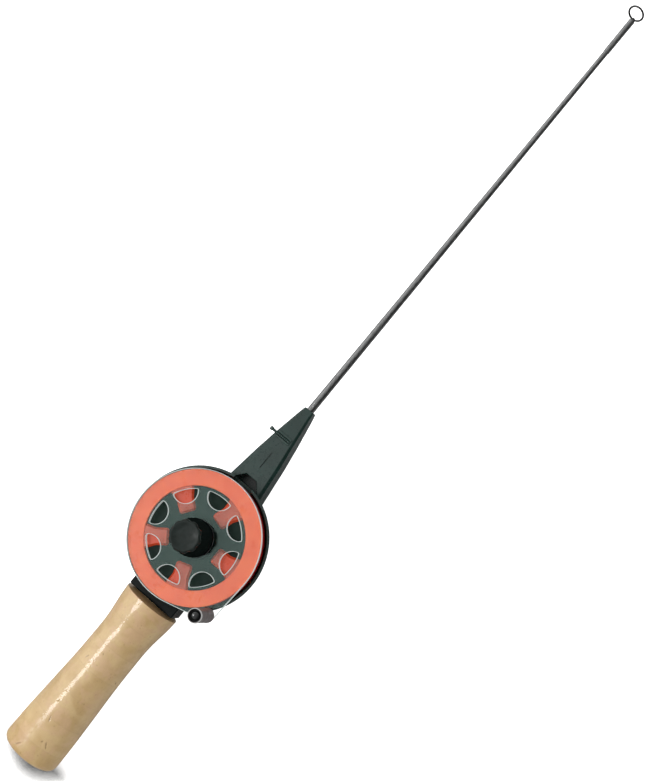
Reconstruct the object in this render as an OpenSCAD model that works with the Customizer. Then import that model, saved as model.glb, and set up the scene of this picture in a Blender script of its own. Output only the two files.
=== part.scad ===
// Ice fishing rod: cork grip, moulded reel frame, centre-axle spool with a clear
// crank plate and a drag knob, solid tapered whip and a wire tip ring.
// +X runs along the rod to its tip, +Z is the reel axle, and the origin is where
// the axle meets the surface that the rod lies on.

/* [Rod line] */
// Height of the rod's long axis above the surface it lies on
axis_z = 14.2; // [14:0.1:15]
// Distance from the reel axle to the butt end of the grip
butt_x = 128.2; // [127:0.1:135]
// Distance from the reel axle to the far end of the neck
neck_tip_x = 76.7; // [74:0.1:78]
// Distance from the reel axle to the front end of the tip sleeve
sleeve_end_x = 309.3; // [290:0.1:330]

/* [Cork grip] */
// Radius at the front end, against the collar
cork_front_r = 14.1; // [13.6:0.1:14.2]
// Radius at the waist
cork_waist_r = 12.25; // [12:0.05:13]
// Radius at the widest place, near the butt
cork_belly_r = 14.2; // [13.6:0.1:14.2]
// Distance from the front end to the waist
cork_waist_t = 23; // [20:1:30]
// Distance from the front end to the widest place
cork_belly_t = 85; // [82:1:86]
// Radius of the rounded butt edge
cork_edge_r = 3.5; // [3:0.5:6]
// Length of the last, solid ring
cork_last_len = 10; // [9:0.5:12]
// Number of bored rings in front of the last one
cork_rings = 6; // [6:1:6]

/* [Reel frame] */
// Outer radius of the cup at its rim
cup_r = 33.4; // [33.2:0.1:33.8]
// Outer radius of the cup at its back
cup_back_r = 28.6; // [28.4:0.1:29]
// Thickness of the cup wall
cup_wall = 1.4; // [1.2:0.1:1.5]
// Height of the cup rim above the rod's axis
rim_h = 12.5; // [12:0.1:12.8]
// Depth of the box-section neck and collar
box_depth = 13; // [12.6:0.1:13]
// Width of the collar across the rod
collar_w = 25.8; // [24:0.1:26.5]
// Distance from the reel axle to the back of the collar
collar_back_x = 36.4; // [36:0.1:38]
// Radius of the tang inside the grip
tang_r = 4.5; // [4:0.1:5]
// Radius of the rear boss
boss_r = 17; // [15:0.5:20]

/* [Reel] */
// Radius of the coloured front ring
flange_r = 31; // [30.6:0.1:31.1]
// Inner radius of the coloured front ring
ring_in_r = 23.5; // [23.4:0.1:24.2]
// Radius of the rear flange
rear_flange_r = 27.4; // [26.5:0.1:27.6]
// Width of a front ring tab at its inner end
tab_w = 6.1; // [5.5:0.1:7]
// Width of a front ring tab where it leaves the ring
tab_root_w = 10; // [9:0.1:11]
// Distance from the axle to the inner end of a tab
tab_in_r = 12.9; // [12:0.1:14]
// Radius of the winding drum
drum_r = 17; // [14:0.5:19]
// Radius of the round part of the crank plate
plate_r = 31.3; // [31:0.1:31.8]
// Thickness of the crank plate
plate_t = 2; // [1.6:0.1:2]
// Distance from the axle to the crank knob pin
crank_arm = 35.1; // [34.6:0.1:36]
// Turned position of the crank arm at rest
crank_angle = 231.5; // [0:0.1:359]
// Radius of the crank plate's half-round windows
window_r = 5.9; // [5:0.1:6.2]
// Radius of the axle
axle_r = 2.5; // [2.4:0.1:2.6]

/* [Knobs] */
// Drag knob radius at its base
drag_base_r = 8.9; // [8.6:0.1:9.4]
// Drag knob radius at its face
drag_face_r = 7.4; // [7.3:0.1:7.6]
// Drag knob height
drag_h = 14.6; // [14:0.1:16]
// Crank knob radius at its base
crank_knob_r = 3.45; // [3.4:0.05:3.7]
// Crank knob height
crank_knob_h = 21.8; // [18:0.1:25]

/* [Whip and tip] */
// Whip radius where it leaves the neck
whip_r = 1.85; // [1.7:0.05:1.9]
// Whip radius at its thin end
whip_tip_r = 1.2; // [1:0.05:1.25]
// Length of the whip held inside the neck
socket_len = 30; // [25:1:32]
// Length of the tip sleeve
sleeve_len = 19; // [16:1:22]
// Radius of the middle line of the tip ring
ring_r = 3.6; // [3.3:0.05:4]
// Radius of the tip ring's wire
wire_r = 0.5; // [0.4:0.05:0.5]
// Angle by which the tip ring stands up from the rod
ring_lean = 55; // [40:1:70]

/* [Hidden] */
$fn = 96;
hole_fn = 48;
slice = 0.02;
cut = 1;
glue = 0.05;
running = 0.05;

// Heights along the axle, from the back to the front
box_back_z = axis_z - box_depth / 2;
cup_floor_z = box_back_z + 2.5;
rim_z = axis_z + rim_h;
axle_flange_top_z = cup_floor_z + 1.2;
spool_back_z = axle_flange_top_z + 0.1;
rear_flange_t = 1.2;
hub_face_z = axis_z + 16.2;
ring_top_z = hub_face_z + 1.3;
felt_z = hub_face_z + 0.6;
plate_z = felt_z + 1;
plate_top_z = plate_z + plate_t;
washer_t = 0.6;
spring_z = plate_top_z + washer_t;
spring_wire_r = 0.45;
spring_turns = 3.5;
spring_h = 5.2;
spring_mid_r = 4.7;
cap_washer_z = spring_z + spring_h;
nut_z = cap_washer_z + washer_t + 0.05;
nut_t = 3.6;
drag_z = plate_top_z + 0.7;
drag_top_z = drag_z + drag_h;
drag_cavity_r = 6.3;
drag_flats = 10;
knob_nut_flats = 8;

// Rear boss and what it holds
pocket_r = 8;
cap_seat_r = 9;
cap_seat_z = 1.5;
pocket_top_z = 5.5;
rear_nut_flats = 8;
rear_nut_t = 2.9;
rear_washer_r = 5.6;
rib_count = 8;

// Neck: rows of [x, half width, half depth, chamfer]
keeper_x = 59.5;
neck_sections = [
    [cup_back_r - 5, 10.3, box_depth / 2, 1.5],
    [48, 7.25, 5.9, 1.3],
    [keeper_x, 5.4, 5.6, 1.1],
    [neck_tip_x - 3.2, 3.1, 4, 0.9],
    [neck_tip_x - slice, 2.5, 3, 0.6]
];

// Grip
cork_len = butt_x - collar_back_x;
ring_len = (cork_len - cork_last_len) / cork_rings;
cork_steps = 8;
cork_dome = 0.5;
belly_ease = 1.3;
tang_len = cork_len - cork_last_len - 1;

// Spool
tab_count = 5;
tab_angle = 55.3;
tab_t = 1;
skirt_t = 1.5;
skirt_h = 7.6;
skirt_draft = 0.3;
window_count = 8;
window_angle = 5.9;
window_mid_r = 21.6;
window_out_r = 22;
bush_out_r = 4;
hub_tube_r = 7;

// Crank knob
lug_r = 2.9;
crank_x = crank_arm * cos(crank_angle);
crank_y = crank_arm * sin(crank_angle);
crank_pin_r = 1.25;
crank_knob_z = plate_top_z + 0.35;
crank_knob_top_z = crank_knob_z + crank_knob_h;
dish_r = 2.75;
dish_depth = 1.8;

// Line keeper
keeper_z = axis_z + 5.75;
keeper_r = 0.6;
keeper_end_y = 8.3;

cork_color = "burlywood";
black_color = [0.12, 0.14, 0.14];
orange_color = [0.93, 0.33, 0.2];
steel_color = "silver";

// Outer radius of the cup at a height above the surface
function cup_radius(z) = cup_back_r + (cup_r - cup_back_r) * (z - box_back_z) / (rim_z - box_back_z);

// Radius of the grip at a distance t behind its front end
function cork_r(t) = t < cork_waist_t
    ? cork_waist_r + (cork_front_r - cork_waist_r) * (1 + cos(180 * t / cork_waist_t)) / 2
    : t < cork_belly_t
        ? cork_waist_r + (cork_belly_r - cork_waist_r)
            * pow((1 - cos(180 * (t - cork_waist_t) / (cork_belly_t - cork_waist_t))) / 2, belly_ease)
        : cork_belly_r;

// Turns a profile of [radius, distance] points about the rod's axis, with the
// distance running from the collar towards the butt
module turn_on_rod(points) {
    translate([-collar_back_x, 0, axis_z])
        rotate([0, -90, 0])
        rotate_extrude()
        polygon(points);
}

// A round bar along +X, from x to x + len
module rod_bar(x, len, r1, r2) {
    translate([x, 0, axis_z])
        rotate([0, 90, 0])
        cylinder(h = len, r1 = r1, r2 = r2);
}

module cork_ring(i) {
    t0 = i * ring_len;
    t1 = t0 + ring_len;
    outer = [for (k = [0 : cork_steps]) let (t = t0 + (t1 - t0) * k / cork_steps) [cork_r(t), t]];
    color(cork_color)
        turn_on_rod(concat([[tang_r + glue, t0]], outer, [[tang_r + glue, t1]]));
}

module cork_butt_ring() {
    t0 = cork_len - cork_last_len;
    edge_t = cork_len - cork_dome - cork_edge_r;
    edge = [for (a = [0 : 10 : 80])
        [cork_belly_r - cork_edge_r * (1 - cos(a)), edge_t + cork_edge_r * sin(a)]];
    color(cork_color)
        turn_on_rod(concat([[0, t0], [cork_r(t0), t0]], edge,
            [[cork_belly_r - cork_edge_r, cork_len - cork_dome + 0.15], [0, cork_len]]));
}

// One cross-section of the neck, from its row [x, half width, half depth, chamfer]: the
// front edges are cut off by the chamfer and the back edges by half as much
module neck_section(row) {
    hw = row[1];
    hd = row[2];
    ch = row[3];
    translate([row[0], 0, axis_z])
        rotate([90, 0, 90])
        linear_extrude(slice)
        polygon([[-hw, -hd + ch / 2], [-hw + ch / 2, -hd], [hw - ch / 2, -hd], [hw, -hd + ch / 2],
            [hw, hd - ch], [hw - ch, hd], [-hw + ch, hd], [-hw, hd - ch]]);
}

module neck() {
    for (i = [0 : len(neck_sections) - 2])
        hull() {
            neck_section(neck_sections[i]);
            neck_section(neck_sections[i + 1]);
        }
}

module cup_outside() {
    rotate_extrude()
        polygon([[0, box_back_z], [cup_back_r - 0.8, box_back_z],
            [cup_radius(box_back_z + 0.8), box_back_z + 0.8], [cup_radius(rim_z - 0.3), rim_z - 0.3],
            [cup_r - 0.3, rim_z], [0, rim_z]]);
}

module cup_inside() {
    top_z = rim_z + cut;
    translate([0, 0, cup_floor_z])
        cylinder(h = top_z - cup_floor_z, r1 = cup_radius(cup_floor_z) - cup_wall,
            r2 = cup_radius(top_z) - cup_wall);
}

module collar() {
    translate([-collar_back_x, -collar_w / 2, box_back_z])
        cube([collar_back_x - cup_back_r + 5, collar_w, box_depth]);
}

// Bars on the back that stiffen the cup: one along the rod and a star of thin ribs
module back_ribs() {
    translate([-collar_back_x + 1, -4, box_back_z - 2.6])
        cube([collar_back_x + cup_back_r + 4, 8, 3.6]);
    for (i = [0 : rib_count - 1])
        rotate([0, 0, 22.5 + i * 360 / rib_count])
            translate([0, -0.8, box_back_z - 1.6])
            cube([cup_back_r - 1.5, 1.6, 2.6]);
}

// Half-octagon pocket in the neck's front face, just outside the cup wall, and the
// lowered stretch of wall that the line runs over on its way to the whip
module line_pocket() {
    x0 = cup_radius(axis_z + box_depth / 2);
    translate([0, 0, axis_z - 2.6])
        linear_extrude(box_depth)
        polygon([[x0, -6.4], [x0 + 0.3, -6.4], [x0 + 4.4, -3.1], [x0 + 4.4, 3.1],
            [x0 + 0.3, 6.4], [x0, 6.4]]);
    translate([cup_radius(axis_z + 4.4) - cup_wall - 2, -5.2, axis_z + 4.4])
        cube([cup_r - cup_radius(axis_z + 4.4) + cup_wall + 3, 10.4, box_depth]);
}

module reel_frame() {
    color(black_color)
    difference() {
        union() {
            cup_outside();
            cylinder(h = box_back_z + cut, r = boss_r);
            back_ribs();
            collar();
            neck();
            rod_bar(-collar_back_x - tang_len, tang_len + cut, tang_r, tang_r);
            keeper_saddle();
        }
        cup_inside();
        translate([0, 0, -cut])
            cylinder(h = cap_seat_z + cut, r = cap_seat_r);
        translate([0, 0, -cut])
            cylinder(h = pocket_top_z + cut, r = pocket_r);
        cylinder(h = rim_z, r = axle_r + 0.02, $fn = hole_fn);
        rod_bar(neck_tip_x - socket_len, socket_len + cut, whip_r + glue, whip_r + glue);
        line_pocket();
        keeper_groove();
    }
}

// Low block across the neck's front face that carries the line keeper pin
module keeper_saddle() {
    translate([keeper_x - 1.7, -3.7, axis_z + 4])
        cube([3.4, 7.4, 2]);
}

module keeper_groove() {
    translate([keeper_x, -3.2, keeper_z])
        rotate([-90, 0, 0])
        cylinder(h = 20, r = keeper_r + 0.22, $fn = hole_fn);
}

module line_keeper_pin() {
    color(black_color)
    translate([keeper_x, 0, keeper_z])
        rotate([-90, 0, 0])
        rotate_extrude($fn = hole_fn)
        polygon(concat([[0, -3.2]],
            [for (i = [0 : 6]) each [[keeper_r, -3.2 + i], [keeper_r + 0.2, -2.95 + i],
                [keeper_r, -2.7 + i]]],
            [[keeper_r, keeper_end_y - 1.6], [keeper_r + 0.35, keeper_end_y - 1.3],
            [keeper_r + 0.35, keeper_end_y - 0.2], [keeper_r, keeper_end_y],
            [0, keeper_end_y]]));
}

module whip_blank() {
    grip_x = neck_tip_x - socket_len + 0.2;
    end_x = sleeve_end_x - 4;
    color(black_color)
    union() {
        rod_bar(grip_x, neck_tip_x - grip_x, whip_r, whip_r);
        rod_bar(neck_tip_x, end_x - neck_tip_x, whip_r, whip_tip_r);
    }
}

module tip_sleeve() {
    color(black_color)
    difference() {
        rod_bar(sleeve_end_x - sleeve_len, sleeve_len, 1.42, 1.5);
        rod_bar(sleeve_end_x - sleeve_len - cut, sleeve_len - 3.8 + cut, 1.3, 1.26);
        rod_bar(sleeve_end_x - 4, 4 + cut, wire_r + 0.03, wire_r + 0.03);
    }
}

// Wire ring that stands up from a short straight shank
module tip_ring() {
    shank_x = sleeve_end_x - 3.6;
    ring_x = sleeve_end_x + wire_r + 0.1;
    color(steel_color)
    union() {
        rod_bar(shank_x, ring_x + 0.3 - shank_x, wire_r, wire_r, $fn = hole_fn);
        translate([ring_x, 0, axis_z])
            rotate([0, -ring_lean, 0])
            translate([ring_r, 0, 0])
            rotate_extrude()
            translate([ring_r, 0])
            circle(r = wire_r, $fn = hole_fn);
    }
}

// Double-D section: a circle with two flats
module keyed_bar(h, r, flat) {
    intersection() {
        cylinder(h = h, r = r, $fn = hole_fn);
        translate([-r - cut, -flat, 0])
            cube([2 * (r + cut), 2 * flat, h]);
    }
}

module reel_axle() {
    tip_z = nut_z + nut_t + 0.4;
    color(steel_color)
    union() {
        translate([0, 0, cap_seat_z + 0.2])
            cylinder(h = plate_top_z - cap_seat_z - 0.2, r = axle_r, $fn = hole_fn);
        translate([0, 0, cup_floor_z])
            cylinder(h = axle_flange_top_z - cup_floor_z, r = 6.4);
        translate([0, 0, plate_top_z])
            keyed_bar(tip_z - plate_top_z, axle_r, 2.1);
    }
}

module washer(z, out_r, in_r, t) {
    translate([0, 0, z])
    difference() {
        cylinder(h = t, r = out_r);
        translate([0, 0, -cut])
            cylinder(h = t + 2 * cut, r = in_r, $fn = hole_fn);
    }
}

module hex_nut(z, flats, t, in_r) {
    translate([0, 0, z])
    difference() {
        cylinder(h = t, r = flats / sqrt(3), $fn = 6);
        translate([0, 0, -cut])
            cylinder(h = t + 2 * cut, r = in_r, $fn = hole_fn);
    }
}

module axle_washer() {
    color(steel_color)
        washer(pocket_top_z - washer_t, rear_washer_r, axle_r + glue, washer_t);
}

module axle_nut() {
    color(steel_color)
        hex_nut(pocket_top_z - washer_t - rear_nut_t, rear_nut_flats, rear_nut_t, axle_r + glue);
}

module rear_cap() {
    color(black_color)
        cylinder(h = cap_seat_z, r = cap_seat_r - 0.03);
}

module spool_hub() {
    face_r = ring_in_r - 0.15;
    web_z = spool_back_z + rear_flange_t;
    color(black_color)
    difference() {
        rotate_extrude()
            polygon([[bush_out_r, spool_back_z], [hub_tube_r, spool_back_z], [hub_tube_r, web_z],
                [drum_r, web_z], [drum_r, hub_face_z - 1.8], [face_r, hub_face_z - 1.8],
                [face_r, hub_face_z], [9.5, hub_face_z], [9.5, felt_z], [bush_out_r, felt_z]]);
        rotate_extrude()
            polygon([[hub_tube_r, web_z + 1.8], [drum_r - 1.8, web_z + 1.8],
                [drum_r - 1.8, hub_face_z - 1.8], [hub_tube_r, hub_face_z - 1.8]]);
    }
}

module hub_bushing() {
    color("goldenrod")
        washer(spool_back_z + 0.05, bush_out_r - 0.01, axle_r + running,
            felt_z - spool_back_z - 0.05);
}

module spool_front_ring() {
    back_z = ring_top_z - 1.8;
    color(orange_color)
    union() {
        rotate_extrude()
            polygon([[ring_in_r, back_z], [flange_r - skirt_t, back_z],
                [flange_r - skirt_t, ring_top_z - skirt_h],
                [flange_r - skirt_draft, ring_top_z - skirt_h], [flange_r, ring_top_z - 0.3],
                [flange_r - 0.3, ring_top_z], [ring_in_r, ring_top_z]]);
        for (i = [0 : tab_count - 1])
            rotate([0, 0, tab_angle + i * 360 / tab_count])
                translate([0, 0, hub_face_z])
                linear_extrude(tab_t)
                polygon([[tab_in_r, -tab_w / 2], [(tab_in_r + ring_in_r) / 2, -tab_w / 2],
                    [ring_in_r + 0.6, -tab_root_w / 2], [ring_in_r + 0.6, tab_root_w / 2],
                    [(tab_in_r + ring_in_r) / 2, tab_w / 2], [tab_in_r, tab_w / 2]]);
    }
}

module spool_rear_flange() {
    color(orange_color)
        washer(spool_back_z, rear_flange_r, hub_tube_r + 0.05, rear_flange_t);
}

module drag_felt_washer() {
    color("dimgray")
        washer(felt_z, 9, axle_r + 1.2, 1);
}

module crank_plate() {
    tilt = acos((plate_r - lug_r) / crank_arm);
    sink = 0.03;
    color([0.85, 0.92, 0.92, 0.35])
    difference() {
        union() {
            translate([0, 0, plate_z])
                cylinder(h = plate_t, r = plate_r);
            translate([crank_x, crank_y, plate_z])
                cylinder(h = plate_t, r = lug_r);
            translate([0, 0, plate_z])
                rotate([0, 0, crank_angle])
                linear_extrude(plate_t)
                polygon([[plate_r / 2, 0], (plate_r - sink) * [cos(tilt), sin(tilt)],
                    [crank_arm, 0] + (lug_r - sink) * [cos(tilt), sin(tilt)],
                    [crank_arm, 0] + (lug_r - sink) * [cos(tilt), -sin(tilt)],
                    (plate_r - sink) * [cos(tilt), -sin(tilt)]]);
        }
        for (i = [0 : window_count - 1])
            rotate([0, 0, window_angle + i * 360 / window_count])
                intersection() {
                    translate([window_mid_r, 0, plate_z - cut])
                        cylinder(h = plate_t + 2 * cut, r = window_r, $fn = hole_fn);
                    translate([0, 0, plate_z - cut])
                        cylinder(h = plate_t + 2 * cut, r = window_out_r);
                }
        translate([0, 0, plate_z - cut])
            cylinder(h = plate_t + 2 * cut, r = axle_r + running, $fn = hole_fn);
        translate([crank_x, crank_y, plate_z - cut])
            cylinder(h = plate_t + 2 * cut, r = crank_pin_r + 0.01, $fn = hole_fn);
    }
}

module plate_pressure_washer() {
    color(steel_color)
    difference() {
        translate([0, 0, plate_top_z])
            cylinder(h = washer_t, r = 6);
        translate([0, 0, plate_top_z - cut])
            keyed_bar(washer_t + 2 * cut, axle_r + 0.05, 2.15);
    }
}

// Coil spring, as flat turns joined by a sleeve-like wall
module drag_spring() {
    steps = 10;
    count = floor(spring_turns * steps);
    rise = (spring_h - 2 * spring_wire_r - 0.04) / count;
    color(steel_color)
    translate([0, 0, spring_z + 0.02])
        polyhedron(
            points = [for (i = [0 : count]) for (k = [0 : 5])
                let (a = i * 360 / steps, b = k * 60)
                [(spring_mid_r + spring_wire_r * cos(b)) * cos(a),
                 (spring_mid_r + spring_wire_r * cos(b)) * sin(a),
                 spring_wire_r + i * rise + spring_wire_r * sin(b)]],
            faces = concat(
                [[for (k = [0 : 5]) k]],
                [for (i = [0 : count - 1]) for (k = [0 : 5])
                    [i * 6 + (k + 1) % 6, i * 6 + k, (i + 1) * 6 + k, (i + 1) * 6 + (k + 1) % 6]],
                [[for (k = [5 : -1 : 0]) count * 6 + k]]));
}

module spring_cap_washer() {
    color(steel_color)
    difference() {
        translate([0, 0, cap_washer_z])
            cylinder(h = washer_t, r = 5.9);
        translate([0, 0, cap_washer_z - cut])
            keyed_bar(washer_t + 2 * cut, axle_r + 0.05, 2.15);
    }
}

module drag_knob() {
    color(black_color)
    difference() {
        union() {
            translate([0, 0, drag_z])
                cylinder(h = 1.2, r = drag_base_r);
            translate([0, 0, drag_z + 0.6])
                cylinder(h = drag_h - 0.6, r1 = drag_base_r, r2 = drag_face_r, $fn = drag_flats);
        }
        translate([0, 0, drag_z - cut])
            cylinder(h = nut_z - drag_z + cut, r = drag_cavity_r);
        translate([0, 0, drag_z - cut])
            cylinder(h = nut_z + nut_t - drag_z + cut, r = knob_nut_flats / sqrt(3) + 0.02, $fn = 6);
        translate([0, 0, drag_z - cut])
            cylinder(h = nut_z + nut_t + 2.2 - drag_z + cut, r = axle_r + 0.5, $fn = hole_fn);
    }
}

module drag_knob_nut() {
    color("goldenrod")
        hex_nut(nut_z, knob_nut_flats, nut_t, axle_r + running);
}

module crank_knob() {
    color(black_color)
    translate([crank_x, crank_y, 0])
        rotate_extrude()
        polygon([[crank_pin_r + 0.06, crank_knob_z], [crank_knob_r - 0.3, crank_knob_z],
            [crank_knob_r, crank_knob_z + 0.3], [crank_knob_r - 0.15, crank_knob_top_z - 0.5],
            [crank_knob_r - 0.3, crank_knob_top_z], [dish_r + 0.15, crank_knob_top_z],
            [dish_r, crank_knob_top_z - dish_depth],
            [crank_pin_r + 0.06, crank_knob_top_z - dish_depth]]);
}

// Shouldered rivet that the crank knob spins on, flared under the plate
module crank_knob_pin() {
    head_z = crank_knob_top_z - dish_depth + 0.05;
    color(steel_color)
    translate([crank_x, crank_y, 0])
        rotate_extrude($fn = hole_fn)
        polygon([[0, plate_z - 0.9], [1.7, plate_z - 0.9], [2.1, plate_z], [crank_pin_r, plate_z],
            [crank_pin_r, head_z], [2.2, head_z], [2.0, head_z + 0.6], [1.2, head_z + 1.1],
            [0, head_z + 1.3]]);
}

reel_frame();
cork_ring(0);  // cork_ring_1
cork_ring(1);  // cork_ring_2
cork_ring(2);  // cork_ring_3
cork_ring(3);  // cork_ring_4
cork_ring(4);  // cork_ring_5
cork_ring(5);  // cork_ring_6
cork_butt_ring();
whip_blank();
tip_sleeve();
tip_ring();
line_keeper_pin();
reel_axle();
axle_washer();
axle_nut();
rear_cap();
spool_hub();
hub_bushing();
spool_front_ring();
spool_rear_flange();
drag_felt_washer();
crank_plate();
plate_pressure_washer();
drag_spring();
spring_cap_washer();
drag_knob();
drag_knob_nut();
crank_knob();
crank_knob_pin();
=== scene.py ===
"""Looks of the ice fishing rod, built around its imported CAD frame.

Lengths here are millimetres in the frame's axes: +X along the rod to its tip, +Z along the
reel axle to the front. MM turns them into the scene's metres when a mesh is made.
"""
import random
from math import acos, asin, atan2, cos, hypot, pi, radians, remainder, sin, sqrt, tan, tau

import bmesh
import bpy
from mathutils import Matrix, Vector, noise


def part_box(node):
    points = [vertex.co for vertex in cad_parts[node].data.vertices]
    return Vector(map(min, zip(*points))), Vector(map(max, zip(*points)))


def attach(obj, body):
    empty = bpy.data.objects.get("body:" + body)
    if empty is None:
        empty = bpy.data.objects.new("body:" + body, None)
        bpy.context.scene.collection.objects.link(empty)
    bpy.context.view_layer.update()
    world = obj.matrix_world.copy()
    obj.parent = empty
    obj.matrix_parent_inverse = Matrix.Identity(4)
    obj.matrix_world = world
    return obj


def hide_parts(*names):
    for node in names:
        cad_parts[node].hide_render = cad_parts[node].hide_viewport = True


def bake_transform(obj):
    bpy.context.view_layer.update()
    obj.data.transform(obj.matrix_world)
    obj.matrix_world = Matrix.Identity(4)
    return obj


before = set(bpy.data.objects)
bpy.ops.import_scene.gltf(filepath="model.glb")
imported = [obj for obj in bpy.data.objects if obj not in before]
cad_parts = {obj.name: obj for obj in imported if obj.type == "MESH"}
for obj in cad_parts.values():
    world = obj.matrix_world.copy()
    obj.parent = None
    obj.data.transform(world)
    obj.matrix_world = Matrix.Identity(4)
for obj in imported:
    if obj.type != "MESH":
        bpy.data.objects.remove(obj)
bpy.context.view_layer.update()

MM = 0.001
SEED = 11


# ---------------- sizes from the frame

def box(node):
    """The lowest and highest corner of a CAD node, in millimetres."""
    low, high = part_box(node)
    return low / MM, high / MM


CORK_NODES = [f"cork_ring_{i}" for i in range(1, 7)] + ["cork_butt_ring"]
frame_high = box("reel_frame")[1]
whip_low, whip_high = box("whip_blank")
sleeve_low, sleeve_high = box("tip_sleeve")
hub_low, hub_high = box("spool_hub")
ring_low, ring_high = box("spool_front_ring")
flange_low, flange_high = box("spool_rear_flange")
plate_low, plate_high = box("crank_plate")
knob_low, knob_high = box("drag_knob")
handle_low, handle_high = box("crank_knob")
keeper_low, keeper_high = box("line_keeper_pin")
cap_high = box("rear_cap")[1]
loop_low, loop_high = box("tip_ring")

AXIS_Z = (whip_low.z + whip_high.z) / 2
CUP_R = frame_high.y
RIM_Z = frame_high.z
NECK_TIP_X = frame_high.x
COLLAR_BACK_X = box("cork_ring_1")[1].x
BUTT_X = box("cork_butt_ring")[0].x
HANDLE_R = (handle_high.x - handle_low.x) / 2
HANDLE_AT = Vector(((handle_low.x + handle_high.x) / 2, (handle_low.y + handle_high.y) / 2))
CRANK_ANGLE = atan2(HANDLE_AT.y, HANDLE_AT.x)

BOX_DEPTH = 13.0
BACK_Z = AXIS_Z - BOX_DEPTH / 2
FRONT_Z = AXIS_Z + BOX_DEPTH / 2
CUP_BACK_R = 28.6
CUP_WALL = 1.4
CUP_FLOOR_Z = BACK_Z + 2.5
BOSS_R = 17.0
COLLAR_W = 25.8
TANG_R = 4.5
AXLE_HOLE_R = 2.52
RING_IN_R = 23.5
KEEPER_X = (keeper_low.x + keeper_high.x) / 2
KEEPER_Z = (keeper_low.z + keeper_high.z) / 2


def cup_radius(z):
    """The cup's outer radius at a height: it tapers from its rim to its back."""
    return CUP_BACK_R + (CUP_R - CUP_BACK_R) * (z - BACK_Z) / (RIM_Z - BACK_Z)


# ---------------- mesh building

def filleted(corners, steps=4):
    """A closed outline of (x, y, radius) corners, with each corner rounded to its radius."""
    points = []
    for i, (x, y, radius) in enumerate(corners):
        here = Vector((x, y))
        if radius <= 0:
            points.append(here)
            continue
        before = (Vector(corners[i - 1][:2]) - here).normalized()
        after = (Vector(corners[(i + 1) % len(corners)][:2]) - here).normalized()
        half = before.angle(after) / 2
        centre = here + (before + after).normalized() * (radius / sin(half))
        reach = radius / tan(half)
        first = here + before * reach - centre
        last = here + after * reach - centre
        start = atan2(first.y, first.x)
        sweep = remainder(atan2(last.y, last.x) - start, tau)
        points += arc(radius, start, start + sweep, steps, centre)
    return points


def arc(radius, start, end, steps, centre=(0, 0)):
    """Points along an arc, angles in radians."""
    angles = [start + (end - start) * k / steps for k in range(steps + 1)]
    return [Vector((centre[0] + radius * cos(a), centre[1] + radius * sin(a))) for a in angles]


def round_hole(radius, steps, centre=(0, 0)):
    """A circle as a clockwise loop, for slab."""
    return arc(radius, tau, 0, steps, centre)[:-1]


def circle(radius, steps):
    """Points around the origin as (x, y), anticlockwise."""
    angles = [tau * k / steps for k in range(steps)]
    return [(radius * cos(a), radius * sin(a)) for a in angles]


def placed(name, data):
    """A new object in the scene."""
    obj = bpy.data.objects.new(name, data)
    bpy.context.scene.collection.objects.link(obj)
    return obj


def skin(rings, closed=False):
    """Vertices and faces over a row of rings, each of the same count or a single point."""
    vertices, starts, faces = [], [], []
    for ring in rings:
        starts.append(len(vertices))
        vertices.extend(ring)
    for a in range(len(rings) if closed else len(rings) - 1):
        b = (a + 1) % len(rings)
        count_a, count_b = len(rings[a]), len(rings[b])
        for k in range(max(count_a, count_b)):
            corners = [starts[a] + k % count_a, starts[a] + (k + 1) % count_a,
                       starts[b] + (k + 1) % count_b, starts[b] + k % count_b]
            faces.append(list(dict.fromkeys(corners)))
    for i in () if closed else (0, -1):
        if len(rings[i]) > 1:
            faces.append([starts[i] + k for k in range(len(rings[i]))])
    return vertices, faces


def mesh_object(name, vertices, faces):
    """A new object from millimetre vertices, with its faces turned outwards."""
    mesh = bpy.data.meshes.new(name)
    mesh.from_pydata([Vector(v) * MM for v in vertices], [], faces)
    work = bmesh.new()
    work.from_mesh(mesh)
    bmesh.ops.remove_doubles(work, verts=work.verts, dist=1e-7)
    bmesh.ops.recalc_face_normals(work, faces=work.faces)
    work.to_mesh(mesh)
    work.free()
    return placed(name, mesh)


def turned(name, outline, steps=128, centre=(0, 0)):
    """A solid turned about Z: outline is (radius, height) points, closed or from pole to pole."""
    rings = [[(centre[0] + x, centre[1] + y, height) for x, y in circle(radius, steps if radius else 1)]
             for radius, height in outline]
    return mesh_object(name, *skin(rings, closed=len(rings[0]) > 1))


def turned_on_rod(name, outline, steps=48):
    """The same about the rod's axis, from (x, radius) points."""
    rings = [[(x, y, AXIS_Z + z) for y, z in circle(radius, steps if radius else 1)]
             for x, radius in outline]
    return mesh_object(name, *skin(rings, closed=len(rings[0]) > 1))


def inset(loop, distance):
    """A closed loop moved to its left by distance, mitred at its corners."""
    moved = []
    for i, point in enumerate(loop):
        before = (point - loop[i - 1]).normalized()
        after = (loop[(i + 1) % len(loop)] - point).normalized()
        side = Vector((-before.y - after.y, before.x + after.x)).normalized()
        spread = max(0.5, side.dot(Vector((-before.y, before.x))))
        moved.append(point + side * distance / spread)
    return moved


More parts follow.
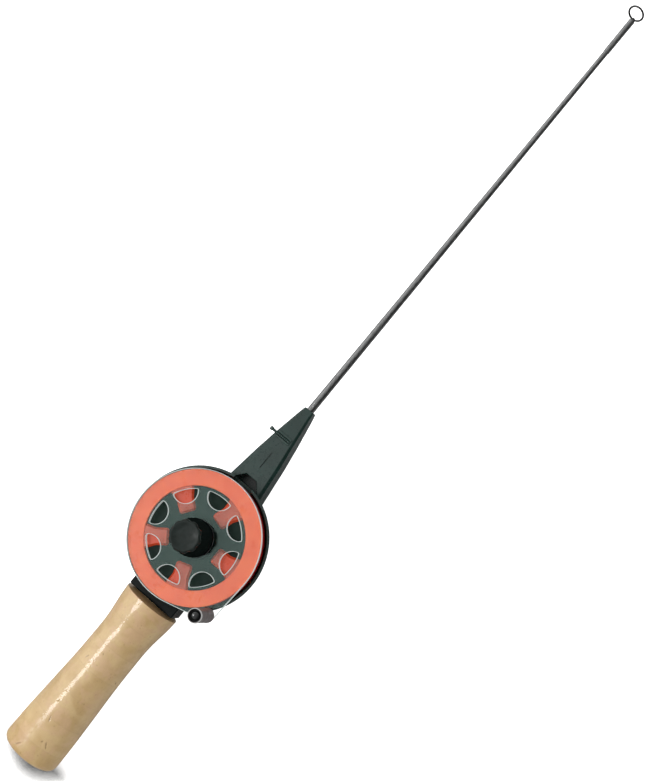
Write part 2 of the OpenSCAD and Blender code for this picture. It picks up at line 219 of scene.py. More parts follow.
def slab(name, loops, low, high, edge, steps=3, rim_slot=0):
    """A flat piece between two heights with rounded edges. The first loop is its outline,
    anticlockwise, and the others are its holes, clockwise. rim_slot is the material slot of
    its edges."""
    profile = [(edge * (1 - sin(a)), edge * (1 - cos(a)))
               for a in (pi / 2 * k / steps for k in range(steps + 1))]
    work = bmesh.new()
    tops, bottoms = [], []
    for loop in loops:
        levels = [(d, low + h) for d, h in profile] + [(d, high - h) for d, h in profile[::-1]]
        rings = []
        for distance, height in levels:
            ring = inset(loop, distance)
            rings.append([work.verts.new(Vector((p.x, p.y, height)) * MM) for p in ring])
        for lower, upper in zip(rings, rings[1:]):
            for k in range(len(lower)):
                face = work.faces.new((lower[k - 1], lower[k], upper[k], upper[k - 1]))
                face.material_index = rim_slot
        for ring, edges in ((rings[0], bottoms), (rings[-1], tops)):
            edges.extend(work.edges.get((ring[k - 1], ring[k])) for k in range(len(ring)))
    for edges in (bottoms, tops):
        bmesh.ops.triangle_fill(work, use_beauty=True, use_dissolve=False, edges=edges)
    bmesh.ops.recalc_face_normals(work, faces=work.faces)
    mesh = bpy.data.meshes.new(name)
    work.to_mesh(mesh)
    work.free()
    return placed(name, mesh)


def block(name, low, high, edge):
    """A rounded box between two corners."""
    outline = filleted([(low[0], low[1], edge), (high[0], low[1], edge),
                        (high[0], high[1], edge), (low[0], high[1], edge)])
    return slab(name, [outline], low[2], high[2], edge * 0.95)


def apply_modifiers(obj):
    """Makes what the modifiers show the object's own mesh."""
    graph = bpy.context.evaluated_depsgraph_get()
    baked = bpy.data.meshes.new_from_object(obj.evaluated_get(graph))
    obj.modifiers.clear()
    obj.data = baked


def combine(obj, tool, operation):
    """Joins a tool to obj, or cuts it away, and removes the tool."""
    modifier = obj.modifiers.new("combine", "BOOLEAN")
    modifier.operation = operation
    modifier.solver = "EXACT"
    modifier.object = tool
    apply_modifiers(obj)
    bpy.data.objects.remove(tool)


def tube(name, path, radius, sides=14):
    """A round wire along a path of points, open at neither end."""
    points = [Vector(p) for p in path]
    across = (points[1] - points[0]).orthogonal()
    rings = []
    for i, point in enumerate(points):
        ahead, behind = points[min(i + 1, len(points) - 1)], points[max(i - 1, 0)]
        along = (ahead - behind).normalized()
        across = (across - along * across.dot(along)).normalized()
        up = along.cross(across)
        rings.append([point + across * x + up * y for x, y in circle(radius, sides)])
    return mesh_object(name, *skin(rings))


def fit(obj, body, looks, replaced, crease=32, stretch=None):
    """Finishes a piece: looks, even shading, its body and the nodes it stands for.
    stretch is (other body, start, end) for a piece that reaches over a joint; only whether it is given is
    read, and such a piece keeps its place and joins no body."""
    if obj.data.materials:  # clearing an empty list would put each face back in the first slot
        obj.data.materials.clear()
    for look in looks:
        obj.data.materials.append(LOOKS[look])
    obj.data.shade_smooth()
    obj.data.set_sharp_from_angle(angle=radians(crease))
    shading = obj.modifiers.new("even_shading", "WEIGHTED_NORMAL")
    shading.keep_sharp = True
    if stretch:
        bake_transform(obj)
    else:
        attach(obj, body)
    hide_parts(*replaced)


# ---------------- materials

class Nodes:
    """A node tree, with shorthands for the nodes that are used most."""

    def __init__(self, tree):
        self.tree = tree

    def node(self, kind, **settings):
        made = self.tree.nodes.new(kind)
        for key, value in settings.items():
            setattr(made, key, value)
        return made

    def link(self, source, target):
        self.tree.links.new(source, target)

    def feed(self, target, value):
        """Sets a socket to a number or a colour, or links another socket to it."""
        if isinstance(value, (int, float)):
            target.default_value = value
        elif isinstance(value, tuple):
            target.default_value = (*value, 1)
        else:
            self.link(value, target)

    def spread(self, source, low, high, start=0.35, end=0.65, kind="LINEAR"):
        """Maps start..end of a source onto low..high."""
        made = self.node("ShaderNodeMapRange", interpolation_type=kind)
        for target, value in zip(made.inputs, (source, start, end, low, high)):
            self.feed(target, value)
        return made.outputs["Result"]

    def mix(self, factor, first, second, kind="RGBA"):
        """A colour between two colours by factor, or with FLOAT a number between two numbers."""
        made = self.node("ShaderNodeMix", data_type=kind)
        at, result = {"RGBA": (6, 2), "FLOAT": (2, 0)}[kind]
        for index, value in ((0, factor), (at, first), (at + 1, second)):
            self.feed(made.inputs[index], value)
        return made.outputs[result]

    def maths(self, operation, first, second):
        made = self.node("ShaderNodeMath", operation=operation)
        self.feed(made.inputs[0], first)
        self.feed(made.inputs[1], second)
        return made.outputs[0]

    def times(self, first, second):
        return self.maths("MULTIPLY", first, second)


class Look(Nodes):
    """A Principled material, with shorthands for its procedural detail."""

    def __init__(self, name, roughness=0.4, **values):
        self.material = bpy.data.materials.new(name)
        self.material.use_nodes = True
        super().__init__(self.material.node_tree)
        self.shader = self.tree.nodes["Principled BSDF"]
        self.shader.inputs["Roughness"].default_value = roughness
        for socket, value in values.items():
            self.shader.inputs[socket.replace("_", " ")].default_value = value
        self.place = self.node("ShaderNodeTexCoord").outputs["Object"]

    def scaled(self, scale):
        """The object-space place, scaled along each axis."""
        mapping = self.node("ShaderNodeMapping")
        mapping.inputs["Scale"].default_value = scale
        self.link(self.place, mapping.inputs["Vector"])
        return mapping.outputs["Vector"]

    def noise(self, size, detail=3.0, stretch=(1, 1, 1), distortion=0.0):
        """Noise from 0 to 1 whose features are about size millimetres wide."""
        made = self.node("ShaderNodeTexNoise")
        made.inputs["Scale"].default_value = 1 / (size * MM)
        made.inputs["Detail"].default_value = detail
        made.inputs["Distortion"].default_value = distortion
        self.link(self.scaled(stretch), made.inputs["Vector"])
        return made.outputs["Fac"]

    def beyond(self, distance, start, end):
        """0 up to start millimetres of a distance, and 1 from end on."""
        return self.spread(distance, 0, 1, start * MM, end * MM)

    def within(self, distance, start, end):
        """1 up to start millimetres of a distance, and 0 from end on."""
        return self.spread(distance, 1, 0, start * MM, end * MM)

    def attribute(self, name):
        return self.node("ShaderNodeAttribute", attribute_name=name).outputs["Fac"]

    def worn_edges(self, size, least, most):
        """Rubbing along the sharp outer edges, in patches of a size, and 0 elsewhere."""
        pointed = self.node("ShaderNodeNewGeometry").outputs["Pointiness"]
        patches = self.spread(self.noise(size, 4), least, most)
        return self.times(self.spread(pointed, 0, 1, 0.52, 0.6), patches)

    def axis_distance(self, centre=(0, 0)):
        """Distance from the reel axle, or from an upright line at a centre in mm, in metres."""
        made = self.node("ShaderNodeVectorMath", operation="DISTANCE")
        self.link(self.scaled((1, 1, 0)), made.inputs[0])
        made.inputs[1].default_value = (centre[0] * MM, centre[1] * MM, 0)
        return made.outputs["Value"]

    def axis(self, letter):
        """The object-space coordinate along one axis, in metres."""
        parts = self.node("ShaderNodeSeparateXYZ")
        self.link(self.place, parts.inputs[0])
        return parts.outputs[letter]

    def colour(self, source):
        self.link(source, self.shader.inputs["Base Color"])

    def rough(self, source):
        self.link(source, self.shader.inputs["Roughness"])

    def gloss(self, low, high, size, detail, stretch=(1, 1, 1)):
        """Roughness that wanders between low and high in patches of a size."""
        self.rough(self.spread(self.noise(size, detail, stretch), low, high))

    def grain(self, size, detail, depth, strength=1.0, stretch=(1, 1, 1)):
        """Bumps of a size and a depth, in millimetres."""
        self.bump(self.noise(size, detail, stretch), depth, strength)

    def bump(self, source, depth, strength=1.0):
        """Raises the surface by depth millimetres where the source is 1."""
        made = self.node("ShaderNodeBump")
        made.inputs["Strength"].default_value = strength
        made.inputs["Distance"].default_value = depth * MM
        self.link(source, made.inputs["Height"])
        previous = self.shader.inputs["Normal"]
        if previous.is_linked:
            self.link(previous.links[0].from_socket, made.inputs["Normal"])
        self.link(made.outputs["Normal"], previous)


def shade(colour, by):
    """A colour made lighter or darker by a factor."""
    return tuple(min(1.0, c * by) for c in colour)


def moulded_colour(look, colour, rubbed, worn):
    """Faint flow marks in a colour, lighter by worn along its rubbed edges."""
    flow = look.spread(look.noise(9, 2, (1, 1, 0.5), 0.8), 0, 1)
    body = look.mix(flow, shade(colour, 0.85), shade(colour, 1.15))
    return look.mix(look.worn_edges(1.6, 0.1, rubbed), body, shade(colour, worn))


def moulded(name, colour, roughness, grain, worn=1.6, **values):
    """Injection-moulded plastic with a fine grain."""
    look = Look(name, **values)
    look.colour(moulded_colour(look, colour, 0.8, worn))
    look.gloss(roughness * 0.8, roughness * 1.25, 2.5, 5)
    look.grain(0.25, 3, grain)
    look.grain(5, 1, grain * 3, 0.5)
    return look.material


def frame_look():
    """Black-green moulding that loses its gloss behind the cup and is painted near-black there, as painted
    shade on the collar.
    """
    colour, collar_painted_shade = (0.006, 0.024, 0.019), (0.003, 0.005, 0.005)
    look = Look("frame_plastic")
    ahead = look.beyond(look.axis("X"), 5 - CUP_R, 9 - CUP_R)
    # Behind the cup the colour is painted near-black: painted shade on the collar.
    look.colour(look.mix(ahead, collar_painted_shade, moulded_colour(look, colour, 0.6, 1.4)))
    look.link(look.spread(ahead, 0.08, 0.5, 0, 1), look.shader.inputs["Specular IOR Level"])
    look.gloss(0.24, 0.34, 2.5, 5)
    look.grain(0.25, 3, 0.005)
    look.grain(5, 1, 0.016, 0.5)
    return look.material


def knob_look():
    """Charcoal moulding, waxy on its face and dull down its sides, with its face painted lighter than its
    sides as painted light from above.
    """
    look = Look("knob_black")
    flow = look.noise(5, 3, (1, 1, 1), 0.8)
    top = look.beyond(look.axis("Z"), knob_high.z - 2, knob_high.z - 1)
    worn = look.times(look.worn_edges(1.6, 0, 0.7), top)
    # The face is painted lighter than the sides' near-black: painted light on the face and painted shade
    # down the sides.
    face = look.mix(look.spread(flow, 0, 1), (0.005, 0.009, 0.007), (0.011, 0.017, 0.015))
    look.colour(look.mix(worn, look.mix(top, (0.006, 0.009, 0.008), face), (0.03, 0.036, 0.034)))
    look.link(look.spread(top, 0.0, 0.16, 0, 1), look.shader.inputs["Specular IOR Level"])
    look.gloss(0.34, 0.55, 2.5, 5)
    look.grain(0.3, 3, 0.015)
    look.grain(3.5, 2, 0.12, 0.8)
    return look.material


def handle_look():
    """Brown-grey barrel with a near-black dished face inside a thin light rim, the rim a painted
    highlight.
    """
    look = Look("crank_knob_black", Specular_IOR_Level=0.25)
    out = look.axis_distance(HANDLE_AT)
    top = look.beyond(look.axis("Z"), handle_high.z - 0.7, handle_high.z - 0.5)
    flow = look.spread(look.noise(6, 3, (1, 1, 0.5), 0.8), 0, 1)
    barrel = look.mix(flow, (0.105, 0.088, 0.086), (0.135, 0.115, 0.112))
    # A thin light-grey ring round the end's edge: a painted highlight.
    rim_highlight = look.times(top, look.beyond(out, HANDLE_R - 0.5, HANDLE_R - 0.3))
    in_dish = look.within(out, HANDLE_R - 0.62, HANDLE_R - 0.48)
    with_rim_highlight = look.mix(rim_highlight, barrel, (0.5, 0.5, 0.49))
    look.colour(look.mix(in_dish, with_rim_highlight, (0.004, 0.005, 0.005)))
    look.gloss(0.4, 0.6, 2.5, 5)
    look.grain(0.25, 3, 0.012)
    return look.material


def machined(name, colour, roughness):
    """Turned or plated metal: fine rings about the axle, faint stains."""
    look = Look(name, Metallic=1.0)
    stain = look.spread(look.noise(3, 4), 0, 1)
    look.colour(look.mix(stain, shade(colour, 0.8), shade(colour, 1.1)))
    look.gloss(roughness * 0.7, roughness * 1.4, 0.4, 2, (1, 1, 6))
    look.grain(0.15, 2, 0.004, stretch=(1, 1, 8))
    return look.material


def cork_look():
    """Turned cork under a thin clear film: soft patches, grain, pits, faint glue lines, and its front face
    painted lighter as painted light.
    """
    look = Look("cork", 0.42, Coat_Weight=0.6, Coat_Roughness=0.09, Coat_IOR=1.45)
    pale, warm, rosy = (0.53, 0.37, 0.17), (0.45, 0.295, 0.12), (0.52, 0.33, 0.18)
    patches = look.mix(look.spread(look.noise(11, 2, (1, 1, 1), 0.6), 0, 1, 0.4, 0.6), warm, pale)
    patches = look.mix(look.spread(look.noise(7, 3, (1.2, 1, 1), 1.0), 0, 0.75, 0.48, 0.66), patches, rosy)
    grain = look.spread(look.noise(1.1, 5, (0.8, 1, 1)), 0, 1, 0.3, 0.7)
    grained = look.mix(look.times(grain, 0.16), patches, (0.33, 0.2, 0.085))
    # The ring tone attribute holds each ring's own random tone, and at the front face a light tan painted
    # on: painted light on a face in shade.
    toned_and_front_lit = look.mix(look.attribute("ring_tone_and_front_light"), grained, (0.9, 0.7, 0.42))
    seamed = look.mix(look.times(look.attribute("seam"), 0.2), toned_and_front_lit, (0.25, 0.15, 0.07))
    look.colour(look.mix(look.times(look.attribute("pit"), 0.6), seamed, (0.17, 0.09, 0.04)))
    look.rough(look.spread(grain, 0.34, 0.55, 0, 1))
    filmed = look.spread(look.axis("X"), 0.03, 0.6, (BUTT_X + 16) * MM, (BUTT_X + 27) * MM)
    look.link(filmed, look.shader.inputs["Coat Weight"])
    look.grain(1.3, 4, 0.03)
    look.grain(7, 2, 0.12, 0.6)
    return look.material


def orange_look():
    """Orange plastic, painted darker on the tabs and dark red down the skirt that runs in the cup, as
    painted shade.
    """
    look = Look("spool_orange", 0.3)
    deep, bright = (0.88, 0.085, 0.008), (0.95, 0.12, 0.014)
    flow = look.spread(look.noise(12, 2, (1, 1, 0.4), 1.2), 0, 1)
    body = look.mix(look.worn_edges(1.8, 0, 0.5), look.mix(flow, deep, bright), (0.95, 0.32, 0.16))
    out = look.axis_distance()
    # The tabs are painted darker and the skirt dark red: painted shade under the plate and in the cup.
    tab_painted_shade = look.within(out, RING_IN_R - 0.2, RING_IN_R + 0.3)
    below_face = look.within(look.axis("Z"), ring_high.z - 0.9, ring_high.z - 0.15)
    skirt_painted_shade = look.times(below_face, look.beyond(out, RING_IN_R + 3.5, RING_IN_R + 4.5))
    look.colour(look.mix(skirt_painted_shade, look.mix(tab_painted_shade, body, (0.52, 0.048, 0.01)), (0.35, 0.006, 0.006)))
    look.gloss(0.24, 0.42, 3, 4)
    look.grain(0.3, 3, 0.006)
    look.grain(6, 1, 0.03, 0.5)
    return look.material


def let_lamps_through(look):
    """Swaps the shader for a clear one on the way to a lamp, so that what is behind it is lit."""
    mixer = look.node("ShaderNodeMixShader")
    clear = look.node("ShaderNodeBsdfTransparent")
    clear.inputs["Color"].default_value = (0.57, 0.61, 0.60, 1)
    look.link(look.node("ShaderNodeLightPath").outputs["Is Shadow Ray"], mixer.inputs[0])
    look.link(look.shader.outputs[0], mixer.inputs[1])
    look.link(clear.outputs[0], mixer.inputs[2])
    output = look.tree.nodes["Material Output"]
    look.link(mixer.outputs[0], output.inputs["Surface"])


def clear_look():
    """Clear plastic with a slight haze and fine scratches about the axle."""
    look = Look("clear_plate", 0.03, IOR=1.5, Transmission_Weight=1.0, Base_Color=(0.93, 0.97, 0.96, 1),
                Specular_Tint=(0.72, 1.0, 0.92, 1))
    haze = look.noise(4, 5)
    look.rough(look.spread(haze, 0.01, 0.09, 0.3, 0.75))
    look.grain(14, 1, 0.05, 0.4)
    look.grain(0.6, 3, 0.002, 0.3, (3, 0.3, 1))
    let_lamps_through(look)
    return look.material


def clear_edge_look():
    """The plate's cut and polished edges, painted whitish with a faint glow as a painted highlight."""
    # The whitish colour and the faint glow paint a highlight along the edges.
    look = Look("clear_plate_edge_glow", 0.3, IOR=1.5, Base_Color=(0.5, 0.56, 0.545, 1),
                Emission_Color=(0.9, 0.95, 0.93, 1), Emission_Strength=0.22)
    look.gloss(0.2, 0.42, 0.8, 4)
    look.grain(0.3, 3, 0.01)
    let_lamps_through(look)
    return look.material


def whip_look(name):
    """Black lacquer over glass fibre: faint lengthwise fibres and a mottled, wavy gloss."""
    look = Look(name, 0.2, Coat_Weight=1.0, Coat_Roughness=0.07, Coat_IOR=1.85, Specular_IOR_Level=0.8)
    fibre = look.noise(0.5, 4, (0.03, 1, 1))
    look.colour(look.mix(look.spread(fibre, 0, 1), (0.006, 0.007, 0.007), (0.022, 0.024, 0.023)))
    look.gloss(0.12, 0.3, 1.5, 4, (0.4, 1, 1))
    waves, wave_depth = look.noise(0.9, 3, (0.5, 1, 1)), 0.25
    look.bump(waves, wave_depth)
    look.bump(fibre, 0.01)
    coat = look.node("ShaderNodeBump")
    coat.inputs["Distance"].default_value = wave_depth * MM
    look.link(waves, coat.inputs["Height"])
    look.link(coat.outputs["Normal"], look.shader.inputs["Coat Normal"])
    return look.material


def felt_look():
    """Grey felt with a loose, fluffy face."""
    look = Look("felt", 0.95, Sheen_Weight=0.4)
    fluff = look.noise(0.3, 6, (1, 1, 1), 1.5)
    look.colour(look.mix(look.spread(fluff, 0, 1), (0.05, 0.05, 0.052), (0.16, 0.16, 0.165)))
    look.bump(fluff, 0.06)
    return look.material


LOOKS = {
    "frame": frame_look(),
    "hub": moulded("hub_black", (0.004, 0.014, 0.010), 0.5, grain=0.006, Specular_IOR_Level=0.12),
    "knob": knob_look(),
    "rivet": moulded("rivet_black", (0.005, 0.006, 0.006), 0.12, grain=0.002, worn=3),
    "handle": handle_look(),
    "orange": orange_look(),
    "cork": cork_look(),
    "clear": clear_look(),
    "clear_edge_glow": clear_edge_look(),
    "whip": whip_look("whip_black"),
    "sleeve": whip_look("sleeve_black"),
    "wire": machined("tip_wire", (0.07, 0.07, 0.07), 0.4),
    "steel": machined("steel", (0.62, 0.62, 0.63), 0.25),
    "brass": machined("bushing_brass", (0.78, 0.58, 0.26), 0.25),
    "felt": felt_look(),
}


# ---------------- cork grip

CORK_STATIONS = 320
CORK_SIDES = 256
SEAM_HALF = 0.22
SEAM_DEPTH = 0.025
PIT_DEPTH = 0.2
PIT_COUNT = 20
PIT_REACH = 3.0
BUTT_DOME = 0.5
BUTT_STEPS = 14
FRONT_ROUNDING = 0.6


def cork_outline():
    """The grip's (x, radius) corners, read off the CAD rings."""
    corners = {}
    for name in CORK_NODES:
        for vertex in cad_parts[name].data.vertices:
            x, y, z = vertex.co / MM
            key = round(x, 2)
            corners[key] = max(corners.get(key, 0), hypot(y, z - AXIS_Z))
    return sorted(corners.items(), reverse=True)


def radius_along(outline, x):
    """The outline's radius at x."""
    for (x_a, r_a), (x_b, r_b) in zip(outline, outline[1:]):
        if x_b <= x <= x_a:
            return r_a + (r_b - r_a) * (x_a - x) / max(x_a - x_b, 1e-9)
    return outline[-1][1]


def smoothed_radius(outline, x, reach=1.2):
    """The CAD radius with the facets between its stations evened out."""
    places = [min(COLLAR_BACK_X, max(BUTT_X, x + reach * k / 4)) for k in range(-4, 5)]
    return sum(radius_along(outline, place) for place in places) / len(places)


def cork_marks(rng):
    """A few large pits and cracks: (x, angle, length, width, slant) on the grip's skin."""
    marks = []
    for _ in range(PIT_COUNT):
        x = rng.uniform(BUTT_X + 5, COLLAR_BACK_X - 2)
        marks.append((x, rng.uniform(0, tau), rng.uniform(0.5, 2.1), rng.uniform(0.16, 0.42),
                      rng.uniform(-0.7, 0.7)))
    return marks


def pit_at(marks, x, angle, radius):
    """How deep the skin is pitted here, from 0 to 1."""
    deep = 0.0
    for mark_x, mark_angle, length, width, slant in marks:
        along = x - mark_x
        across = remainder(angle - mark_angle, tau) * radius
        if max(abs(along), abs(across)) > PIT_REACH:
            continue
        wander = 0.25 * noise.noise(Vector((x * 1.3, across * 1.3, mark_x)))
        u = (along * cos(slant) + across * sin(slant)) / length
        v = (across * cos(slant) - along * sin(slant) + wander) / width
        deep = max(deep, 1 - u * u - v * v)
    place = Vector((x * 0.9, radius * cos(angle), radius * sin(angle)))
    speck = (noise.noise(place * 1.5) - 0.57) * 3
    return max(0.0, min(1.0, max(deep * 1.6, speck)))


def front_rounding(x):
    """How much the grip's front edge is rounded off at x."""
    inward = 1 - min(1.0, (COLLAR_BACK_X - x) / FRONT_ROUNDING)
    return FRONT_ROUNDING * (1 - sqrt(1 - inward * inward))


def cork_grip():
    """The whole grip as one turned skin over the CAD rings, bored for the tang."""
    outline = cork_outline()
    widest = max(r for _, r in outline)
    edge_x = min(x for x, r in outline if r > 0.999 * widest)
    seams = [box(name)[0].x for name in CORK_NODES[:-1]]
    rng = random.Random(SEED)
    marks = cork_marks(rng)
    tones = [rng.uniform(0, 0.12) for _ in CORK_NODES]
    rings, values = [], []

    def pole(x, tone):
        rings.append([(x, 0, AXIS_Z)])
        values.append((0.0, 0.0, tone))

    def ring(x, radius, tone, seam=0.0, pitted=False):
        points = []
        for k in range(CORK_SIDES):
            angle = tau * k / CORK_SIDES
            deep = pit_at(marks, x, angle, radius) if pitted else 0.0
            swell = 0.05 * noise.noise(Vector((x * 0.12, 3 * cos(angle), 3 * sin(angle))))
            r = radius + (swell - SEAM_DEPTH * seam - PIT_DEPTH * deep if pitted else 0)
            points.append((x, r * cos(angle), AXIS_Z + r * sin(angle)))
            values.append((deep, seam, tone))
        rings.append(points)

    bore = TANG_R + 0.05
    pole(seams[-1], 0.0)
    ring(seams[-1] + 0.01, bore, 0.0)
    # Tone 1.0 at the front face paints it light tan: painted light on a face that sits in shade.
    ring(COLLAR_BACK_X, bore, 1.0)
    ring(COLLAR_BACK_X, smoothed_radius(outline, COLLAR_BACK_X) - FRONT_ROUNDING, 1.0)
    for k in range(1, CORK_STATIONS + 1):
        x = COLLAR_BACK_X + (edge_x - COLLAR_BACK_X) * k / CORK_STATIONS
        near = min(abs(x - seam) for seam in seams)
        tone = tones[sum(x < seam for seam in seams)]
        # Near the front the tone rises with the rounding: painted light on the rounded edge.
        ring(x, smoothed_radius(outline, x) - front_rounding(x), max(tone, 0.8 * front_rounding(x)),
             max(0.0, 1 - near / SEAM_HALF), pitted=True)
    turn_r = edge_x - BUTT_X - BUTT_DOME
    for k in range(1, BUTT_STEPS + 1):
        angle = pi / 2 * k / BUTT_STEPS
        ring(edge_x - turn_r * sin(angle), widest - turn_r * (1 - cos(angle)), tones[-1],
             pitted=True)
    for share in (0.85, 0.65, 0.45, 0.25):
        ring(BUTT_X + BUTT_DOME * share ** 2, (widest - turn_r) * share, tones[-1], pitted=True)
    pole(BUTT_X, tones[-1])
    obj = mesh_object("cork_grip", *skin(rings))
    for i, name in enumerate(("pit", "seam", "ring_tone_and_front_light")):
        attribute = obj.data.attributes.new(name, "FLOAT", "POINT")
        attribute.data.foreach_set("value", [value[i] for value in values])
    fit(obj, "rod", ["cork"], CORK_NODES, crease=50)


# ---------------- reel frame

# Along the neck: x, half its width, half its depth and the cut of its front edges.
NECK_SECTIONS = [(CUP_BACK_R - 5, 10.3, 6.5, 1.5), (48, 7.25, 5.9, 1.3), (KEEPER_X, 5.4, 5.6, 1.1),
                 (NECK_TIP_X - 3.2, 3.1, 4.0, 0.9), (NECK_TIP_X - 0.35, 2.6, 3.1, 0.65),
                 (NECK_TIP_X, 2.3, 2.8, 0.5)]
NECK_FILLET = 0.25
POCKET_X = cup_radius(FRONT_Z)
POCKET_FLOOR_Z = AXIS_Z - 2.6
NOTCH_HALF = 5.2
NOTCH_Z = AXIS_Z + 4.4
NUT_POCKET = (8.0, 5.5)  # its radius and its floor's height
SOCKET_R = 1.9
SOCKET_DEPTH = 30
PIN_SEAT_R = 0.85
GROOVE_X = (42, 51)
GROOVE_HALF = 0.22
RIBS = 8


def cup():
    """The tapered cup with its rear boss, which has a seat for the plug and a pocket for the nut."""
    seat_r, seat_z = cap_high.y + 0.03, cap_high.z
    nut_r, nut_z = NUT_POCKET
    outline = filleted([
        (AXLE_HOLE_R, CUP_FLOOR_Z, 0), (cup_radius(CUP_FLOOR_Z) - CUP_WALL, CUP_FLOOR_Z, 1.0),
        (CUP_R - CUP_WALL, RIM_Z, 0.3), (CUP_R, RIM_Z, 0.4), (CUP_BACK_R, BACK_Z, 1.0),
        (BOSS_R, BACK_Z, 0.8), (BOSS_R, 0, 0.7), (seat_r, 0, 0.25), (seat_r, seat_z, 0),
        (nut_r, seat_z, 0), (nut_r, nut_z, 0.3), (AXLE_HOLE_R, nut_z, 0)])
    return turned("reel_frame_body", outline, 160)


def open_to_cup(part):
    """Cuts a part back to the middle of the cup's wall, so that the cup stays empty."""
    low, high, within = CUP_FLOOR_Z - 0.4, RIM_Z + 5, CUP_WALL / 2
    hollow = turned("cutter", [(0, low), (cup_radius(low) - within, low),
                               (cup_radius(high) - within, high), (0, high)], 96)
    combine(part, hollow, "DIFFERENCE")
    return part


def collar():
    """The block behind the cup."""
    half = COLLAR_W / 2
    low, high = (COLLAR_BACK_X, -half, BACK_Z + 0.02), (5 - CUP_BACK_R, half, FRONT_Z)
    return open_to_cup(block("collar", low, high, 0.5))


def neck_ring(x, half, deep, cut):
    """One ring of the neck: a box with its front edges cut and its back edges cut by half."""
    right = [(half - cut / 2, -deep), (half, -deep + cut / 2), (half, deep - cut), (half - cut, deep)]
    left = [(-y, z) for y, z in right[::-1]]
    outline = filleted([(y, z, NECK_FILLET) for y, z in left + right], 3)
    return [(x, p.x, AXIS_Z + p.y) for p in outline]


def neck():
    """The tapered arm that holds the whip."""
    return open_to_cup(mesh_object("neck", *skin([neck_ring(*section) for section in NECK_SECTIONS])))


def line_pocket():
    """Cutter for the half-octagon pocket in the neck, with a small chamfer at its mouth."""
    def outline(grow):
        far, wide, narrow = POCKET_X + 4.4 + grow, 6.4 + grow, 3.1 + grow * 0.5
        side = [(POCKET_X, wide), (POCKET_X + 0.3, wide), (far, narrow)]
        return [(x, -y) for x, y in side] + side[::-1]
    levels = [(0, POCKET_FLOOR_Z), (0, FRONT_Z - 0.55), (0.5, FRONT_Z - 0.05), (0.5, FRONT_Z + 4)]
    return mesh_object("cutter", *skin([[(x, y, z) for x, y in outline(grow)] for grow, z in levels]))


def plain_box(low, high):
    """A sharp box, for cutting only."""
    rings = [[(low[0], low[1], z), (high[0], low[1], z), (high[0], high[1], z), (low[0], high[1], z)]
             for z in (low[2], high[2])]
    return mesh_object("cutter", *skin(rings))


def pin_seat():
    """Cutter for the line keeper pin's hole."""
    rings = [[(KEEPER_X + x, y, KEEPER_Z + z) for x, z in circle(PIN_SEAT_R, 32)] for y in (-3.2, 12)]
    return mesh_object("cutter", *skin(rings))


def back_ribs():
    """The spine along the rod and the star of thin ribs behind the cup."""
    made = [block("spine", (COLLAR_BACK_X + 1, -4, BACK_Z - 2.6), (CUP_BACK_R + 5, 4, BACK_Z + 1), 0.6)]
    for i in range(RIBS):
        rib = block("rib", (6, -0.8, BACK_Z - 1.6), (CUP_BACK_R - 1.5, 0.8, BACK_Z + 1), 0.3)
        rib.data.transform(Matrix.Rotation(tau * (i + 0.5) / RIBS, 4, "Z"))
        made.append(rib)
    return made


def reel_frame():
    """The moulding: cup, collar, neck, tang, ribs and the small saddle under the keeper pin."""
    body = cup()
    tang_end = box("cork_butt_ring")[1].x + 1
    tang = turned_on_rod("tang", [(COLLAR_BACK_X + 1, 0), (COLLAR_BACK_X + 1, TANG_R),
                                  (tang_end + 0.6, TANG_R), (tang_end, TANG_R - 0.6), (tang_end, 0)])
    saddle = block("saddle", (KEEPER_X - 1.7, -3.7, AXIS_Z + 4), (KEEPER_X + 1.7, 3.7, AXIS_Z + 6), 0.3)
    for part in [collar(), neck(), tang, saddle, *back_ribs()]:
        combine(body, part, "UNION")
    bottom, mouth = NECK_TIP_X - SOCKET_DEPTH, NECK_TIP_X + 1
    socket = turned_on_rod("cutter", [(bottom, 0), (bottom, SOCKET_R), (mouth, SOCKET_R), (mouth, 0)])
    groove = plain_box((GROOVE_X[0], -GROOVE_HALF, FRONT_Z - 1.2), (GROOVE_X[1], GROOVE_HALF, FRONT_Z + 1))
    notch_x = cup_radius(NOTCH_Z) - CUP_WALL - 2
    notch = plain_box((notch_x, -NOTCH_HALF, NOTCH_Z), (CUP_R + 1, NOTCH_HALF, RIM_Z + 5))
    for tool in (line_pocket(), notch, socket, groove, pin_seat()):
        combine(body, tool, "DIFFERENCE")
    fit(body, "rod", ["frame"], ["reel_frame"])


def rear_cap():
    """The plug over the nut."""
    r, top = cap_high.y, cap_high.z
    outline = [(0, 0.25), (r - 2.2, 0.25), (r - 1.9, 0), (r - 0.25, 0), (r, 0.25), (r, top), (0, top)]
    fit(turned("rear_cap_disc", outline, 96), "rod", ["frame"], ["rear_cap"])


def line_keeper():
    """A threaded pin across the neck with a small round head."""
    r, thread, pitch, sides = 0.6, 0.22, 0.95, 28
    low, high = keeper_low.y, keeper_high.y
    shank_end = high - 1.6
    steps = int((shank_end - low) / 0.08)
    levels = [(low + (shank_end - low) * k / steps, r, thread) for k in range(steps + 1)]
    levels += [(high - 1.35, r + 0.33, 0), (high - 0.35, r + 0.35, 0), (high - 0.1, r + 0.22, 0),
               (high, r - 0.1, 0)]
    rings = []
    for y, radius, ridge in levels:
        ring = []
        for k in range(sides):
            angle = tau * k / sides
            wave = abs(2 * ((y / pitch - k / sides) % 1) - 1)
            out = radius + ridge * max(0.0, 2 * wave - 1)
            ring.append((KEEPER_X + out * cos(angle), y, KEEPER_Z + out * sin(angle)))
        rings.append(ring)
    obj = mesh_object("line_keeper_screw", *skin(rings))
    fit(obj, "rod", ["frame"], ["line_keeper_pin"])


# ---------------- spool

DRUM_R = 17.0
TAB_COUNT = 5
TAB_ANGLE = 55.3
TAB_W = 6.1
TAB_IN_R = 12.9
TAB_ROOT_W = 10.0
